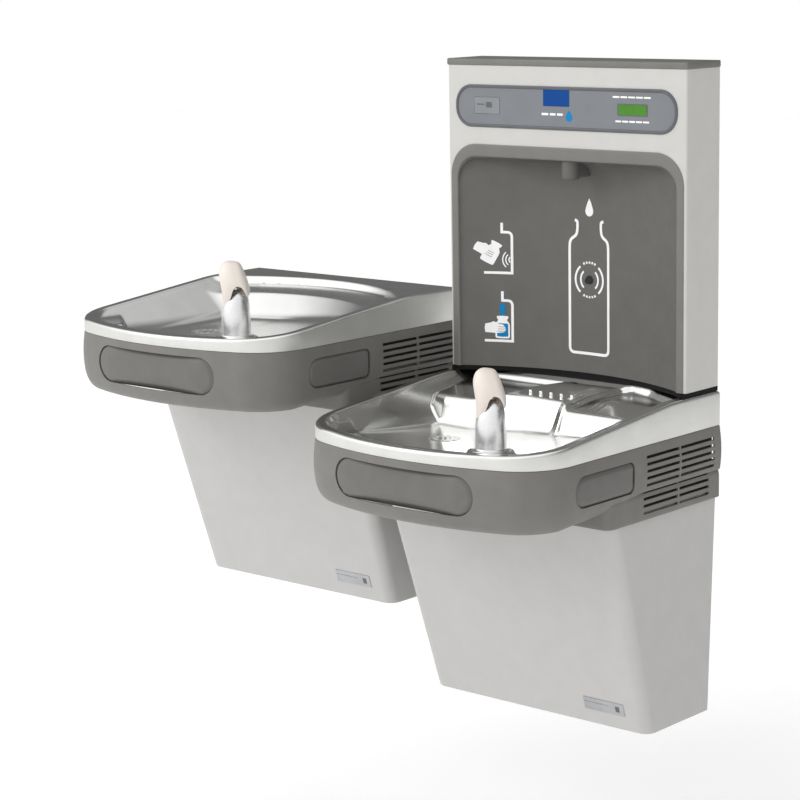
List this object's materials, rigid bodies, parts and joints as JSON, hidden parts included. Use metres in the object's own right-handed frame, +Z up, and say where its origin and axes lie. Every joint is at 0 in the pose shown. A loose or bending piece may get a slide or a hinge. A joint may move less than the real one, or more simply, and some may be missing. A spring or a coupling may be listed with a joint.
{
  "type": "drinking fountain",
  "caption": "Wall-hung drinking fountain at two heights, with push pads round each basin and a bottle filler standing on the lower one.",
  "frame": {"origin": "centre of the low unit's hanger holes, on the wall plane", "axes": "+X to the right as a user faces it, +Y into the wall, +Z up"},
  "size_m": [0.996, 0.4944, 1.0205],
  "materials": {
    "basin_steel": "satin stainless sheet",
    "apron_plastic": "fine texture, warm grey",
    "pad_plastic": "smooth, warm grey",
    "panel_paint": "light grey powder coat",
    "badge_metal": "satin plate",
    "bubbler_chrome": "polished",
    "guard_rubber": "soft, pale",
    "pipe_plastic": "black waste pipe",
    "frame_steel": "galvanised sheet",
    "valve_brass": "machined",
    "tube_plastic": "flexible tube",
    "compressor_paint": "black enamel",
    "condenser_aluminium": "mill finish",
    "tank_shell": "foamed insulation shell",
    "copper_line": "drawn copper tube",
    "gland_plastic": "black",
    "filter_head_plastic": "moulded",
    "filter_shell": "white shell",
    "cap_plastic": "warm grey",
    "alcove_plastic": "dark warm grey",
    "nameplate_rim": "dark grey rim",
    "nameplate_face": "blue-grey film",
    "display_window": "green backlit window",
    "circuit_board": "solder mask",
    "sensor_lens": "dark infrared window",
    "gasket_rubber": "black",
    "valve_plastic": "moulded solenoid"
  },
  "bodies": {
    "root": {"low_basin": "basin_steel", "low_apron": "apron_plastic", "low_panel": "panel_paint", "low_badge": "badge_metal", "low_bubbler": "bubbler_chrome", "low_mouth_guard": "guard_rubber", "low_bubbler_nozzle": "bubbler_chrome", "low_strainer": "basin_steel", "low_drain_trap": "pipe_plastic", "low_frame": "frame_steel", "low_hanger": "frame_steel", "low_regulator": "valve_brass", "low_supply_tube": "tube_plastic", "high_basin": "basin_steel", "high_apron": "apron_plastic", "high_panel": "panel_paint", "high_badge": "badge_metal", "high_bubbler": "bubbler_chrome", "high_mouth_guard": "guard_rubber", "high_bubbler_nozzle": "bubbler_chrome", "high_strainer": "basin_steel", "high_drain_trap": "pipe_plastic", "high_frame": "frame_steel", "high_hanger": "frame_steel", "high_regulator": "valve_brass", "high_supply_tube": "tube_plastic", "compressor": "compressor_paint", "condenser": "condenser_aluminium", "fan_shroud": "frame_steel", "fan_motor": "compressor_paint", "cooling_tank": "tank_shell", "cold_line": "copper_line", "power_gland": "gland_plastic", "filter_head": "filter_head_plastic", "filler_case": "panel_paint", "filler_cap": "cap_plastic", "filler_alcove": "alcove_plastic", "filler_nameplate": "nameplate_rim", "filler_face": "nameplate_face", "filler_display": "display_window", "filler_board": "circuit_board", "filler_nozzle": "alcove_plastic", "filler_sensor": "sensor_lens", "filler_gasket": "gasket_rubber", "filler_bracket": "frame_steel", "filler_valve": "valve_plastic", "filler_tube": "tube_plastic"},
    "low_front_pad": {"low_front_pad": "pad_plastic"},
    "low_left_pad": {"low_left_pad": "pad_plastic"},
    "low_right_pad": {"low_right_pad": "pad_plastic"},
    "high_front_pad": {"high_front_pad": "pad_plastic"},
    "high_left_pad": {"high_left_pad": "pad_plastic"},
    "high_right_pad": {"high_right_pad": "pad_plastic"},
    "fan": {"fan": "condenser_aluminium"},
    "filter_cartridge": {"filter_cartridge": "filter_shell"}
  },
  "joints": [
    {"name": "low_front_press", "type": "slide", "parent": "root", "child": "low_front_pad", "axis": [0, 1, 0], "range_m": [0, 0.003], "stiffness_N_per_m": 2000, "springref_m": -0.004},
    {"name": "low_left_press", "type": "slide", "parent": "root", "child": "low_left_pad", "axis": [1, 0, 0], "range_m": [0, 0.003], "stiffness_N_per_m": 2000, "springref_m": -0.004},
    {"name": "low_right_press", "type": "slide", "parent": "root", "child": "low_right_pad", "axis": [-1, 0, 0], "range_m": [0, 0.003], "stiffness_N_per_m": 2000, "springref_m": -0.004},
    {"name": "high_front_press", "type": "slide", "parent": "root", "child": "high_front_pad", "axis": [0, 1, 0], "range_m": [0, 0.003], "stiffness_N_per_m": 2000, "springref_m": -0.004},
    {"name": "high_left_press", "type": "slide", "parent": "root", "child": "high_left_pad", "axis": [1, 0, 0], "range_m": [0, 0.003], "stiffness_N_per_m": 2000, "springref_m": -0.004},
    {"name": "high_right_press", "type": "slide", "parent": "root", "child": "high_right_pad", "axis": [-1, 0, 0], "range_m": [0, 0.003], "stiffness_N_per_m": 2000, "springref_m": -0.004},
    {"name": "fan_spin", "type": "hinge", "parent": "root", "child": "fan", "pos_m": [0.095, -0.103, -0.302], "axis": [0, 1, 0], "continuous": true},
    {"name": "filter_twist", "type": "hinge", "parent": "root", "child": "filter_cartridge", "pos_m": [-0.475, -0.082, -0.11], "axis": [0, 0, 1], "range_deg": [0, 90]}
  ]
}
